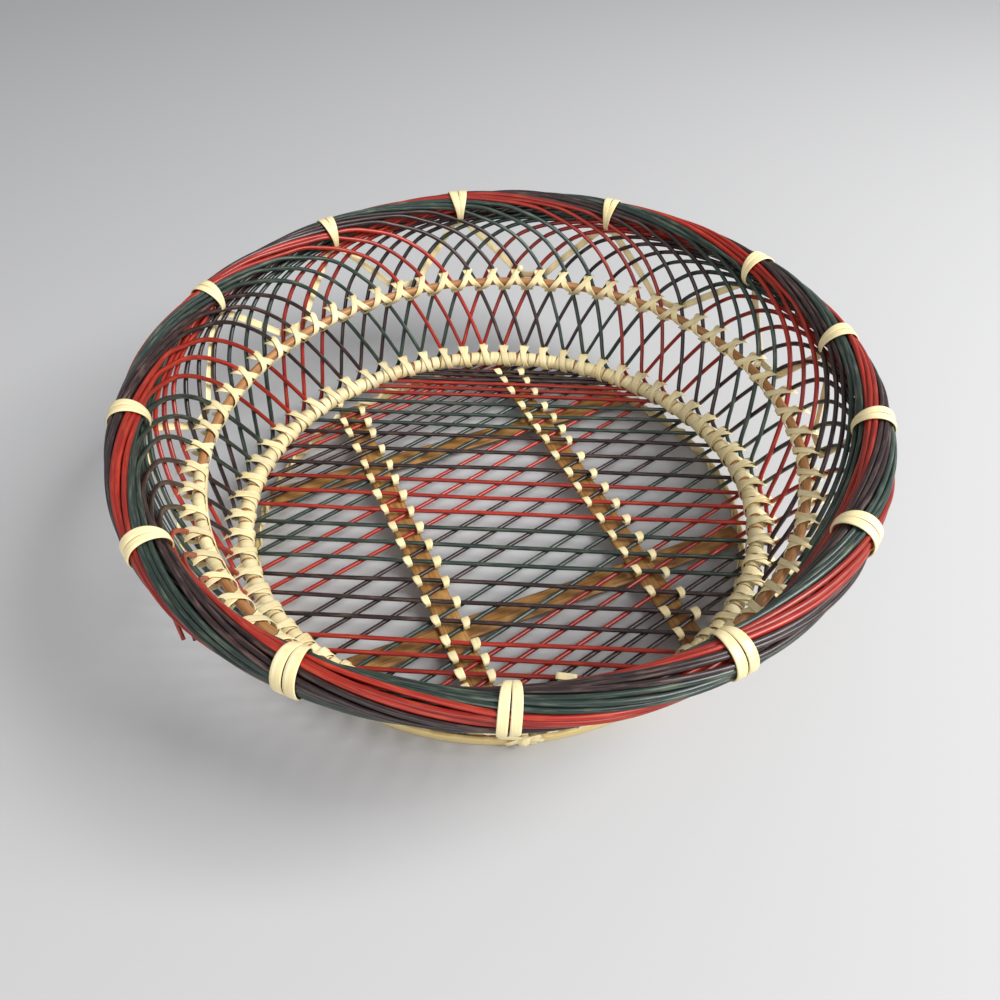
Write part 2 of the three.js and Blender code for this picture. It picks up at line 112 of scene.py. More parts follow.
def carry(path, out, section, closed=False, scale=None, tone=0.5):
    """Vertex (i, j) = path i + section j outward * out i + section j sideways * across i, where across is
    the path's direction times out. scale multiplies the section at each point of the path."""
    path = np.asarray(path, float)
    if closed:
        along = np.roll(path, -1, axis=0) - np.roll(path, 1, axis=0)
    else:
        along = np.gradient(path, axis=0)
    along = unit(along)
    out = unit(out - along * np.sum(out * along, axis=1, keepdims=True))
    across = np.cross(along, out)
    section = np.asarray(section, float)[None, :, :]
    if scale is not None:
        section = section * np.asarray(scale, float)[:, None, :]
    grid = path[:, None, :] + section[..., :1] * out[:, None, :] + section[..., 1:] * across[:, None, :]
    count, sides = grid.shape[:2]
    spans = count if closed else count - 1
    i = np.arange(spans)[:, None]
    j = np.arange(sides)[None, :]
    after = (i + 1) % count
    beside = (j + 1) % sides
    here, there = i * sides, after * sides
    quads = np.stack([here + j, here + beside, there + beside, there + j], axis=-1)
    steps = np.linalg.norm(np.roll(path, -1, axis=0) - path, axis=1)
    u = np.concatenate([[0], np.cumsum(steps)]) / MM_IN_CM
    v = np.arange(sides + 1) / sides
    corner_u = np.stack(np.broadcast_arrays(u[i], u[i], u[i + 1], u[i + 1]), axis=-1)
    corner_v = np.stack(np.broadcast_arrays(v[j], v[j + 1], v[j + 1], v[j]), axis=-1)
    corner_u = np.broadcast_to(corner_u, quads.shape)
    corner_v = np.broadcast_to(corner_v, quads.shape)
    strand = {
        "vertices": grid.reshape(-1, 3),
        "quads": quads.reshape(-1, 4),
        "uv": np.stack([corner_u, corner_v], axis=-1).reshape(-1, 2),
        "tone": tone,
        "caps": [],
    }
    if not closed:
        strand["caps"] = [np.arange(sides)[::-1], (count - 1) * sides + np.arange(sides)]
    return strand


def round_section(radius, sides=10):
    """A circle: outward r cos t, sideways r sin t."""
    turn = np.arange(sides) * 2 * np.pi / sides
    return np.stack([radius * np.cos(turn), radius * np.sin(turn)], axis=1)


def flat_section(thickness, width, sides=12):
    """Flat cane with rounded edges: a superellipse, sign(cos t) |cos t|^0.6 by sign(sin t) |sin t|^0.5."""
    turn = (np.arange(sides) + 0.5) * 2 * np.pi / sides
    outward = np.sign(np.cos(turn)) * np.abs(np.cos(turn)) ** 0.6 * thickness / 2
    sideways = np.sign(np.sin(turn)) * np.abs(np.sin(turn)) ** 0.5 * width / 2
    return np.stack([outward, sideways], axis=1)


# %% [markdown]
# All strands of one piece become one mesh, because hundreds of objects would be slow. Blender takes
# whole arrays of corners through foreach_set. The ends of open strands are closed with one flat face
# each, and only the long faces are shaded smooth.

# %% Make one mesh of many strands
def make_piece(name, strands, material, replaced=()):
    """Joins the strands into one mesh in metres, with their UV maps and tones, riding on the basket."""
    counts = [len(s["vertices"]) for s in strands]
    starts = np.concatenate([[0], np.cumsum(counts)[:-1]]).astype(int)
    vertices = np.concatenate([s["vertices"] for s in strands]) * MM
    quads = np.concatenate([s["quads"] + start for s, start in zip(strands, starts)])
    caps = [cap + start for s, start in zip(strands, starts) for cap in s["caps"]]
    loops = np.concatenate([quads.reshape(-1), *caps]).astype(np.int32)
    sizes = np.concatenate([np.full(len(quads), 4), [len(cap) for cap in caps]]).astype(np.int32)
    mesh = bpy.data.meshes.new(name)
    mesh.vertices.add(len(vertices))
    mesh.vertices.foreach_set("co", vertices.astype(np.float32).ravel())
    mesh.loops.add(len(loops))
    mesh.loops.foreach_set("vertex_index", loops)
    mesh.polygons.add(len(sizes))
    first = np.concatenate([[0], np.cumsum(sizes)[:-1]]).astype(np.int32)
    mesh.polygons.foreach_set("loop_start", first)
    mesh.polygons.foreach_set("use_smooth", np.arange(len(sizes)) < len(quads))
    mesh.update(calc_edges=True)
    mesh.validate()
    uv = np.zeros((len(loops), 2), np.float32)
    uv[: quads.size] = np.concatenate([s["uv"] for s in strands])
    mesh.uv_layers.new(name="strand").data.foreach_set("uv", uv.ravel())
    tone = np.concatenate([np.full(n, s["tone"], np.float32) for n, s in zip(counts, strands)])
    mesh.attributes.new("tone", "FLOAT", "POINT").data.foreach_set("value", tone)
    mesh.materials.append(material)
    piece = bpy.data.objects.new(name, mesh)
    bpy.context.scene.collection.objects.link(piece)
    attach(piece, "root")
    if replaced:
        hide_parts(*replaced)
    print(name, len(strands), "strands,", len(vertices), "vertices")


# %% [markdown]
# Hand work is never quite even. A strand sways about its course by a sum of three sine waves, whose
# phases come from its own seeded random numbers, so every run gives the same basket. A smooth curve
# through a few known points is a cubic between each two, whose slopes come from the neighbours.

# %% Sway, and smooth curves
SWAY_PEAK = 1.8


def sway(seed, distance, wavelength):
    """Sum over k = 1, 2, 3 of sin(2 pi k d / wavelength + phase k) / k, scaled to about plus or minus 1."""
    phases = np.random.default_rng(seed).uniform(0, 2 * np.pi, 3)
    waves = np.arange(1, 4)
    angles = 2 * np.pi * distance[:, None] * waves / wavelength + phases
    return np.sum(np.sin(angles) / waves, axis=1) / SWAY_PEAK


def smooth_curve(knots, values, at):
    """Cubic Hermite curve: h00 p0 + h10 h m0 + h01 p1 + h11 h m1 between neighbouring knots."""
    knots = np.asarray(knots, float)
    values = np.asarray(values, float)
    slopes = np.gradient(values, knots, axis=0)
    i = np.clip(np.searchsorted(knots, at, side="right") - 1, 0, len(knots) - 2)
    h = knots[i + 1] - knots[i]
    t = (at - knots[i]) / h
    shape = (-1,) + (1,) * (values.ndim - 1)
    h, t = h.reshape(shape), t.reshape(shape)
    start = (2 * t**3 - 3 * t**2 + 1) * values[i] + (t**3 - 2 * t**2 + t) * h * slopes[i]
    finish = (3 * t**2 - 2 * t**3) * values[i + 1] + (t**3 - t**2) * h * slopes[i + 1]
    return start + finish


# %% [markdown]
# ## Finishes
# Rattan and cane are bundles of fibres, so every finish starts from streaks that run along the
# strand. They come from noise on the strand's own UV map, stretched many times along it. Two node
# groups hold what the materials share: the streaks, and the slow change of colour along a strand.

# %% Shader groups for fibre and for stain
def new_group(name, inputs, outputs):
    """An empty shader node group. Inputs are (name, kind, starting value) and outputs (name, kind)."""
    group = bpy.data.node_groups.new(name, "ShaderNodeTree")
    for label, kind, value in inputs:
        socket = group.interface.new_socket(name=label, in_out="INPUT", socket_type=kind)
        socket.default_value = value
    for label, kind in outputs:
        group.interface.new_socket(name=label, in_out="OUTPUT", socket_type=kind)
    return group, group.nodes.new("NodeGroupInput"), group.nodes.new("NodeGroupOutput")


def math_node(tree, operation, first, second=None):
    """One Math node. Its inputs are sockets or numbers."""
    node = tree.nodes.new("ShaderNodeMath")
    node.operation = operation
    for socket, value in zip(node.inputs, (first, second)):
        if isinstance(value, bpy.types.NodeSocket):
            tree.links.new(value, socket)
        elif value is not None:
            socket.default_value = value
    return node.outputs[0]


def mix_colours(tree, factor, first, second, blend="MIX"):
    """One Mix node for colours. Its inputs are sockets, numbers or colours."""
    node = tree.nodes.new("ShaderNodeMix")
    node.data_type = "RGBA"
    node.blend_type = blend
    for socket, value in zip((node.inputs[0], node.inputs[6], node.inputs[7]), (factor, first, second)):
        if isinstance(value, bpy.types.NodeSocket):
            tree.links.new(value, socket)
        else:
            socket.default_value = value
    return node.outputs[2]


def map_range(tree, value, source, target):
    """One Map Range node: from the source's low and high to the target's low and high."""
    node = tree.nodes.new("ShaderNodeMapRange")
    for label, number in zip(("From Min", "From Max", "To Min", "To Max"), (*source, *target)):
        node.inputs[label].default_value = number
    tree.links.new(value, node.inputs["Value"])
    return node.outputs[0]


TONE_SHIFT = 57.0
BLOTCH_STRETCH = 3.0
fibre_group, fibre_in, fibre_out = new_group(
    "cane_fibres",
    [("Along", "NodeSocketFloat", 0.35), ("Round", "NodeSocketFloat", 9.0), ("Tone", "NodeSocketFloat", 0.5)],
    [("Streaks", "NodeSocketFloat"), ("Blotches", "NodeSocketFloat")],
)
uv_node = fibre_group.nodes.new("ShaderNodeUVMap")
uv_node.uv_map = "strand"
split = fibre_group.nodes.new("ShaderNodeSeparateXYZ")
fibre_group.links.new(uv_node.outputs[0], split.inputs[0])
streak_place = fibre_group.nodes.new("ShaderNodeCombineXYZ")
blotch_place = fibre_group.nodes.new("ShaderNodeCombineXYZ")
turned = math_node(fibre_group, "MULTIPLY", split.outputs[1], 2 * math.pi)
sine = math_node(fibre_group, "SINE", turned)
cosine = math_node(fibre_group, "COSINE", turned)
shift = math_node(fibre_group, "MULTIPLY", fibre_in.outputs["Tone"], TONE_SHIFT)
along = math_node(fibre_group, "MULTIPLY", split.outputs[0], fibre_in.outputs["Along"])
along = math_node(fibre_group, "ADD", along, shift)
half_round = math_node(fibre_group, "MULTIPLY", fibre_in.outputs["Round"], 0.5)
fibre_group.links.new(along, streak_place.inputs[0])
fibre_group.links.new(math_node(fibre_group, "MULTIPLY", sine, half_round), streak_place.inputs[1])
fibre_group.links.new(math_node(fibre_group, "MULTIPLY", cosine, half_round), streak_place.inputs[2])
fibre_group.links.new(math_node(fibre_group, "MULTIPLY", along, BLOTCH_STRETCH), blotch_place.inputs[0])
fibre_group.links.new(sine, blotch_place.inputs[1])
fibre_group.links.new(cosine, blotch_place.inputs[2])
for place, output, detail in ((streak_place, "Streaks", 4.0), (blotch_place, "Blotches", 2.0)):
    noise = fibre_group.nodes.new("ShaderNodeTexNoise")
    noise.inputs["Scale"].default_value = 1.0
    noise.inputs["Detail"].default_value = detail
    fibre_group.links.new(place.outputs[0], noise.inputs["Vector"])
    fibre_group.links.new(noise.outputs[0], fibre_out.inputs[output])
print("groups", [g.name for g in bpy.data.node_groups])


# %% [markdown]
# A finish is a base colour that the streaks darken and lighten, a second colour that shows through
# in blotches, where the stain has gone thin or the skin has kept its own colour, and a bump so small
# that it only breaks up the highlight. Gloss varies a little with the streaks.

# %% Make a cane finish
STREAK_RANGE = (0.32, 0.68)
BLOTCH_RANGE = (0.5, 0.78)
TONE_LIFT = (0.78, 1.18)
GLOSSIER, DULLER = 0.08, 0.12
RELIEF_METRES = 0.0003


def cane_finish(name, colour, worn, dark, wear=0.5, roughness=0.42, along=0.35, around=9.0, bump=0.15):
    """Dark to colour by the streaks, then part of the way to worn by the blotches, times the tone."""
    material = bpy.data.materials.new(name)
    material.use_nodes = True
    tree = material.node_tree
    shader = tree.nodes["Principled BSDF"]
    tone = tree.nodes.new("ShaderNodeAttribute")
    tone.attribute_name = "tone"
    fibres = tree.nodes.new("ShaderNodeGroup")
    fibres.node_tree = fibre_group
    fibres.inputs["Along"].default_value = along
    fibres.inputs["Round"].default_value = around
    tree.links.new(tone.outputs["Fac"], fibres.inputs["Tone"])
    streaks = fibres.outputs["Streaks"]
    contrast = map_range(tree, streaks, STREAK_RANGE, (0, 1))
    stained = mix_colours(tree, contrast, (*dark, 1), (*colour, 1))
    thin = map_range(tree, fibres.outputs["Blotches"], BLOTCH_RANGE, (0, wear))
    faded = mix_colours(tree, thin, stained, (*worn, 1))
    lift = map_range(tree, tone.outputs["Fac"], (0, 1), TONE_LIFT)
    grey = tree.nodes.new("ShaderNodeCombineColor")
    for socket in grey.inputs:
        tree.links.new(lift, socket)
    toned = mix_colours(tree, 1.0, faded, grey.outputs[0], "MULTIPLY")
    tree.links.new(toned, shader.inputs["Base Color"])
    rough = map_range(tree, streaks, (0, 1), (roughness - GLOSSIER, roughness + DULLER))
    tree.links.new(rough, shader.inputs["Roughness"])
    relief = tree.nodes.new("ShaderNodeBump")
    relief.inputs["Strength"].default_value = bump
    relief.inputs["Distance"].default_value = RELIEF_METRES
    tree.links.new(streaks, relief.inputs["Height"])
    tree.links.new(relief.outputs[0], shader.inputs["Normal"])
    shader.inputs["Specular IOR Level"].default_value = 0.5
    return material


def linear(*values):
    """Channel values of 0 to 255 as linear light: ((c + 0.055) / 1.055)^2.4, or c / 12.92 near black."""
    c = np.array(values) / 255
    return tuple(float(v) for v in np.where(c > 0.04045, ((c + 0.055) / 1.055) ** 2.4, c / 12.92))


FINISHES = {
    "red": cane_finish("red_stain", linear(178, 44, 27), linear(208, 96, 62), linear(106, 18, 14),
                       wear=0.4, roughness=0.33),
    "green": cane_finish("green_stain", linear(50, 67, 60), linear(126, 136, 112), linear(22, 32, 29),
                         roughness=0.33),
    "purple": cane_finish("purple_stain", linear(56, 38, 38), linear(134, 108, 98), linear(24, 16, 16),
                          roughness=0.33),
}
PALE = cane_finish("pale_cane", linear(242, 231, 190), linear(224, 192, 120), linear(230, 208, 148),
                   along=0.8, around=7.0, bump=0.3)
HOOP = cane_finish("brown_rattan", linear(196, 142, 88), linear(134, 88, 48), linear(150, 100, 56),
                   wear=0.6, roughness=0.45, along=0.5, around=8.0, bump=0.3)
SLAT = cane_finish("slat_rattan", linear(176, 128, 68), linear(204, 160, 96), linear(124, 82, 40),
                   roughness=0.45, along=0.4, around=12.0, bump=0.4)
FOOT = cane_finish("foot_bamboo", linear(236, 212, 150), linear(206, 172, 108), linear(220, 192, 128),
                   roughness=0.4, along=0.3, around=10.0, bump=0.25)
print("finishes", [material.name for material in bpy.data.materials])

# %% [markdown]
# ## The wall rods and the border
# Each rod is one long U. From its lowest point it climbs anticlockwise inside the wall and clockwise
# outside it. Its course is given at a few angles on from its lowest point: how far from the axis, and
# how high. Above the wall the inner half lies down on the border and winds round it, about three and a
# half degrees round the border for each degree round the basket, so that the rods fill the border's
# outer layer side by side. The outer half runs nearly flat under the border, then slips in from below
# and winds inside that layer.

# %% Courses of the two halves of a rod
CROSSING = ROD_SPACING / 2
LAYER_OUTER = ROLL_RADIUS - ROD_RADIUS
LAYER_INNER = 3.3
OUTER_LAYER_TWIST = 3.4
INNER_LAYER_TWIST = 6.3

# Degrees on from the lowest point: where the inner half lies on top, where it winds, where it sinks
TOP_OF_ROLL = 53.5
ROLL_FROM, ROLL_TO, ROLL_STEP = 30.5, 116, 4.0
SINK_FROM, SINK_OVER, SINK_DEPTH = 104, 12, 1.4

# Where the outer half winds, and the side of the border on which it slips in
TUCK_FROM, TUCK_TO, TUCK_STEP = 39.0, 97.0, 3.0
TUCK_SIDE = 185


def in_border(turn, reach):
    """Radius and height of a point at an angle and a distance from the border's middle line."""
    turn = np.radians(turn)
    return rim_radius + reach * np.cos(turn), rim_height + reach * np.sin(turn)


# Inside, then outside: degrees from the lowest point, radius, height
INNER_COURSE = np.array([
    [0.0, 121.25, 12.6], [1.43, 121.0, 14.0], [2.86, 120.0, 19.2], [5.71, 124.3, 33.4], [8.57, 128.4, 46.6],
    [11.43, 131.3, 58.4], [14.3, 133.3, 66.9], [17.1, 134.7, 73.1], [20.0, 135.7, 77.7], [22.9, 136.5, 81.1],
    [25.8, 137.1, 83.8],
])
OUTER_COURSE = np.array([
    [0.0, 121.25, 12.6], [1.43, 121.6, 14.0], [2.86, 122.5, 19.2], [5.71, 126.8, 33.4], [8.57, 131.1, 46.6],
    [11.43, 134.4, 58.4], [14.3, 136.1, 66.2], [17.1, 137.4, 71.9], [20.0, 138.3, 75.6], [22.9, 139.0, 78.0],
    [25.8, 139.4, 79.7], [30.0, 139.8, 81.2], [34.0, 140.0, 82.3],
])

roll_angles = np.arange(ROLL_FROM, ROLL_TO, ROLL_STEP)
roll_turn = 90 - OUTER_LAYER_TWIST * (roll_angles - TOP_OF_ROLL)
roll_sink = SINK_DEPTH * np.clip((roll_angles - SINK_FROM) / SINK_OVER, 0, 1) ** 2
roll_radius, roll_height = in_border(roll_turn, LAYER_OUTER - roll_sink)
inner_at = np.concatenate([INNER_COURSE[:, 0], roll_angles])
inner_values = np.concatenate([INNER_COURSE[:, 1:], np.stack([roll_radius, roll_height], 1)])

tuck_angles = np.arange(TUCK_FROM, TUCK_TO, TUCK_STEP)
tuck_turn = TUCK_SIDE - INNER_LAYER_TWIST * (tuck_angles - tuck_angles[0])
tuck_radius, tuck_height = in_border(tuck_turn, LAYER_INNER)
outer_at = np.concatenate([OUTER_COURSE[:, 0], tuck_angles])
outer_values = np.concatenate([OUTER_COURSE[:, 1:], np.stack([tuck_radius, tuck_height], 1)])
print("inner half ends", round(float(inner_at[-1]), 1), "degrees on from the lowest point")
print("outer half ends", round(float(outer_at[-1]), 1), "degrees on from the lowest point")


# %% [markdown]
# The real basket isn't quite round. Its base is squeezed from front to back, its middle is fuller on
# the right, and its border is a little longer from front to back and higher at the back. Each of these
# three rings has its own slow waves, and what lies between two of them follows both, by height.

# %% The basket's own shape
LOWER_CROSSING_HEIGHT = 20.0
RING_HEIGHTS = [LOWER_CROSSING_HEIGHT, mid_height, rim_height]

# Rows for the base, the middle and the border; columns for 1, cos a, sin a, cos 2a, sin 2a
OUTWARD_WAVES = np.array([[-2.2, 0.3, 0.8, 3.8, -1.5], [0.2, 1.8, 0, 0, 0], [0.6, 1.0, 0.1, -1.4, 0]])
LIFT_WAVES = np.array([[0, 0, 0, 0, 0], [0.6, 0, 0.6, 0, 0], [0, 0, 1.4, 0, 0]])


def ring_shares(path):
    """The waves at each point's angle, and its shares of the three rings, in proportion by height."""
    angle = np.arctan2(path[..., 1], path[..., 0])
    double = 2 * angle
    waves = np.stack([angle**0, np.cos(angle), np.sin(angle), np.cos(double), np.sin(double)], axis=-1)
    level = np.interp(path[..., 2], RING_HEIGHTS, [0, 1, 2])
    return waves, np.clip(1 - np.abs(level[..., None] - np.arange(3)), 0, 1)


def with_shape(path):
    """Moves points outward by shares . (OUTWARD_WAVES waves), and up by shares . (LIFT_WAVES waves)."""
    waves, shares = ring_shares(path)
    outward = np.sum(shares * (waves @ OUTWARD_WAVES.T), axis=-1)
    lift = np.sum(shares * (waves @ LIFT_WAVES.T), axis=-1)
    away = path[..., :2] / np.linalg.norm(path[..., :2], axis=-1, keepdims=True)
    return path + np.concatenate([away * outward[..., None], lift[..., None]], axis=-1)


plain_points = np.array([[base_radius, 0, LOWER_CROSSING_HEIGHT], [0, -base_radius, LOWER_CROSSING_HEIGHT]])
right_point, front_point = with_shape(plain_points)
print("base hoop on the right", round(float(right_point[0]), 1), "from the axis")
print("base hoop in front", round(float(-front_point[1]), 1), "from the axis")

# %% [markdown]
# One rod follows the two courses, turned to its own place. It is free to stray a little between the
# hoops and in the border, and hardly at all where the lashings hold it. In the border it also rises
# and sinks, so that the layer isn't too even, and it is a little thicker or thinner than the next.

# %% One wall rod
OPEN_WALL = 30
FREE_AT_CROSSING = [0, 1, 2, 3, 4, 5, 6.5, 8.5, 11]
FREEDOM = [0, 0, 0.25, 0, 0, 0.6, 1, 0.6, 0.3]
BORDER_FROM, BORDER_OVER = 9, 3
ANGLE_SWAY, RADIUS_SWAY, HEIGHT_SWAY = 0.4, 0.1, 0.2
BORDER_REACH_SWAY, BORDER_TURN_SWAY, BORDER_SINK = 0.6, 0.12, 0.1


def wall_rod(index):
    """Angle = lowest + s, where s < 0 is outside; radius and height are smooth curves in |s|."""
    lowest = FIRST_ROD_ANGLE - ROD_SPACING * index
    rng = np.random.default_rng(1000 + index)
    inner_end = inner_at[-1] - rng.uniform(0, 6)
    s = np.concatenate([
        np.arange(-outer_at[-1], -OPEN_WALL, 2.0),
        np.arange(-OPEN_WALL, OPEN_WALL, 0.7),
        np.arange(OPEN_WALL, inner_end, 1.3),
    ])
    inner = smooth_curve(inner_at, inner_values, np.maximum(s, 0))
    outer = smooth_curve(outer_at, outer_values, np.maximum(-s, 0))
    course = np.where(s[:, None] >= 0, inner, outer)
    crossings = np.abs(s) / CROSSING
    free = np.interp(crossings, FREE_AT_CROSSING, FREEDOM)
    angle = lowest + s + ANGLE_SWAY * free * sway(2000 + index, s, 40)
    radius = course[:, 0] + RADIUS_SWAY * sway(3000 + index, s, 30)
    height = course[:, 1] + HEIGHT_SWAY * free * sway(4000 + index, s, 25)
    in_roll = np.clip((crossings - BORDER_FROM) / BORDER_OVER, 0, 1)
    sunk = BORDER_REACH_SWAY * in_roll * sway(5000 + index, s, 71) - BORDER_SINK * in_roll
    turn = np.arctan2(height - rim_height, radius - rim_radius)
    turn = turn + BORDER_TURN_SWAY * in_roll * sway(6000 + index, s, 83)
    reach = np.hypot(height - rim_height, radius - rim_radius) + sunk
    radius = np.where(in_roll > 0, rim_radius + reach * np.cos(turn), radius)
    height = np.where(in_roll > 0, rim_height + reach * np.sin(turn), height)
    path = with_shape(polar(angle, radius, height))
    thickness = ROD_RADIUS * rng.uniform(0.92, 1.08)
    return carry(path, polar(angle, 1.0, 0 * angle), round_section(thickness), tone=rng.uniform(0, 1))


for triple, node in enumerate(wall_nodes):
    colour = node.split("_")[2]
    rods = [wall_rod(3 * triple + i) for i in range(3)]
    replaced = [node, "rolled_border"] if triple == 0 else [node]
    make_piece(f"rods_{colour}_{triple + 1}", rods, FINISHES[colour], replaced)

# %% [markdown]
# ## Hoops
# The base hoop and the middle hoop are plain brown rods, bent round. They wander a little in and out
# and up and down, as a bent rod does.

# %% Hoops
def hoop(radius, height, section, seed, wander, shaped=True):
    """A closed ring: radius + wander sin and height + wander sin, whose waves fit the full turn."""
    angle = np.arange(0, 360, 1.5)
    rng = np.random.default_rng(seed)
    waves = np.arange(2, 6)[:, None]
    drift = np.sum(np.sin(np.radians(angle) * waves + rng.uniform(0, 6.28, (4, 1))) / waves, axis=0)
    lift = np.sum(np.sin(np.radians(angle) * waves + rng.uniform(0, 6.28, (4, 1))) / waves, axis=0)
    path = polar(angle, radius + wander * drift, height + wander * lift)
    if shaped:
        path = with_shape(path)
    return carry(path, polar(angle, 1.0, 0 * angle), section, closed=True)


HOOP_OVER_CROSSINGS = 0.3
BASE_ROD_RADIUS = BASE_HOOP_HALF - 0.2
MID_ROD_RADIUS = 1.95
HOOP_SIDES = 14
hoop_height = mid_height + HOOP_OVER_CROSSINGS
base_hoop = hoop(base_radius, base_height, round_section(BASE_ROD_RADIUS, HOOP_SIDES), 11, 0.1)
mid_hoop = hoop(mid_radius, hoop_height, round_section(MID_ROD_RADIUS, HOOP_SIDES), 12, 0.12)
make_piece("base_hoop_rod", [base_hoop], HOOP, ["base_hoop"])
make_piece("mid_hoop_rod", [mid_hoop], HOOP, ["mid_hoop"])

# %% [markdown]
# The foot hoop is a strip of bamboo on edge, so its section is a tall thin rectangle with soft edges.

# %% Foot hoop
foot_low, foot_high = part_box("foot_hoop")
FOOT_TALL = (foot_high.z - foot_low.z) / MM
foot_section = flat_section(2 * FOOT_HOOP_HALF, FOOT_TALL, 16)
foot_hoop = hoop(foot_radius, foot_height, foot_section, 13, 0.0, shaped=False)
make_piece("foot_hoop_strip", [foot_hoop], FOOT, ["foot_hoop"])

# %% [markdown]
# ## The lashing of the middle hoop
# On the real basket one strand of flat cane zigzags along the hoop. Here each slanting stretch of it is
# a strand of its own, whose ends the rods hide from inside, the side that the photograph shows. It
# starts behind a crossing of the rods, comes forward under it, lies over the inner face of the hoop,
# and goes back over the next crossing, above. Two stretches cross in front of each crossing of the
# rods, and their ends fold back on either side of it.

# %% Middle lashing
LASHING_THICKNESS = 0.45
LASHING_WIDTH = 3.0
CROSSED_OVER = 0.55

# Steps from the lower crossing to the upper one, radius from the hoop's, height over the hoop's
MID_PROFILE = np.array([
    [-0.10, 7.0, -4.6], [-0.22, 6.2, -4.9], [-0.27, 4.8, -5.2], [-0.26, 3.0, -5.3], [-0.21, 1.6, -4.9],
    [-0.11, 0.9, -4.0], [0.0, 0.1, -3.2], [0.18, -1.4, -2.1], [0.36, -2.25, -0.9], [0.5, -2.45, 0.0],
    [0.64, -2.25, 0.9], [0.82, -1.2, 2.1], [1.0, 1.0, 3.2], [1.11, 2.3, 3.8], [1.18, 3.6, 4.1],
    [1.22, 5.0, 4.0], [1.2, 6.4, 3.4], [1.12, 7.8, 2.6], [1.0, 9.0, 1.8],
])
STRETCH_POINTS = 30


def over_hoop(profile, start_angle, side, lifted, radius, height, width, tone, wander):
    """A strip on the smooth curve through a profile. Its face is square to the profile, -dh and dr, so it
    faces the basket's middle where it climbs and upward where it goes out. side is 1 or -1."""
    at = np.linspace(0, 1, STRETCH_POINTS)
    step, away, lift = smooth_curve(np.linspace(0, 1, len(profile)), profile, at).T
    slope_away, slope_lift = np.gradient(away), np.gradient(lift)
    size = np.hypot(slope_away, slope_lift)
    out_away, out_lift = -slope_lift / size, slope_away / size
    angle = start_angle + side * (step + wander * at * (1 - at)) * CROSSING
    out = polar(angle, out_away, out_lift)
    path = polar(angle, radius + away + lifted * out_away, height + lift + lifted * out_lift)
    return carry(with_shape(path), out, flat_section(LASHING_THICKNESS, width), tone=tone)


rng = np.random.default_rng(21)
mid_strands = []
for k in range(ROD_COUNT):
    lower = FIRST_ROD_ANGLE - CROSSING + ROD_SPACING * k + rng.uniform(-0.15, 0.15)
    for side in (1, -1):
        lifted = rng.uniform(0, 0.08) + (CROSSED_OVER if side < 0 else 0)
        width = LASHING_WIDTH * rng.uniform(0.9, 1.1)
        height = hoop_height + rng.uniform(-0.25, 0.25)
        tone, wander = rng.uniform(0.2, 0.9), rng.uniform(-0.3, 0.3)
        stretch = over_hoop(MID_PROFILE, lower, side, lifted, mid_radius, height, width, tone, wander)
        mid_strands.append(stretch)
make_piece("mid_lashing_cane", mid_strands, PALE, ["mid_lashing"])

# %% [markdown]
# ## The lashing of the base hoop
# Round the base hoop the cane is closer. It goes once plainly round the hoop at each rod and once at
# each crossing of the rods, where it then makes an X over the hoop, whose tips hook over the crossing.
# The plain turn is the outline of two circles, the hoop and the rod under it, pulled tight. Here each
# plain turn is a closed band, and each arm of an X is a strand of its own that ends behind the rods.

# %% Base lashing
CANE_THICKNESS = 0.6
WRAP_WIDTH = 4.5
UNDER_WRAP = (6.0, 0.4)
ARM_WIDTH = 3.2
LOOP_POINTS = 28
HOOP_SEAT, ROD_SEAT = 0.2, 0.35


def tight_loop(centres, radii, turns):
    """Outline of circles pulled tight: for each direction the circle that reaches furthest, c + r d."""
    heading = np.stack([np.cos(np.radians(turns)), np.sin(np.radians(turns))], axis=1)
    reach = heading @ np.asarray(centres, float).T + np.asarray(radii, float)
    best = np.argmax(reach, axis=1)
    return np.asarray(centres, float)[best] + np.asarray(radii, float)[best, None] * heading, heading


def loop_round(angle, centres, radii, width, thickness=CANE_THICKNESS, slant=0.0, tone=0.5, shaped=True):
    """A closed flat band pulled tight round circles in the upright plane at an angle. A slant, in degrees
    round the basket, moves its top one way and its bottom the other."""
    turns = np.linspace(0, 360, LOOP_POINTS + 1)[:-1]
    outline, heading = tight_loop(centres, radii, turns)
    local = angle + slant * np.sin(np.radians(turns))
    path = polar(local, outline[:, 0], outline[:, 1])
    if shaped:
        path = with_shape(path)
    out = polar(local, heading[:, 0], heading[:, 1])
    return carry(path, out, flat_section(thickness, width), closed=True, tone=tone)


# Steps from where an arm starts under the hoop to the crossing of the rods, radius from the hoop's,
# height over the hoop's
BASE_PROFILE = np.array([
    [0.40, 1.8, -3.5], [0.43, 0.0, -3.75], [0.49, -1.9, -3.2], [0.57, -3.2, -1.8], [0.68, -3.65, 0.0],
    [0.79, -3.2, 1.8], [0.88, -1.8, 3.2], [0.97, 0.2, 4.0], [1.06, 2.0, 4.6], [1.13, 3.5, 4.9],
    [1.17, 4.9, 4.8], [1.17, 6.2, 4.3], [1.12, 7.4, 3.4], [1.02, 8.2, 2.4],
])

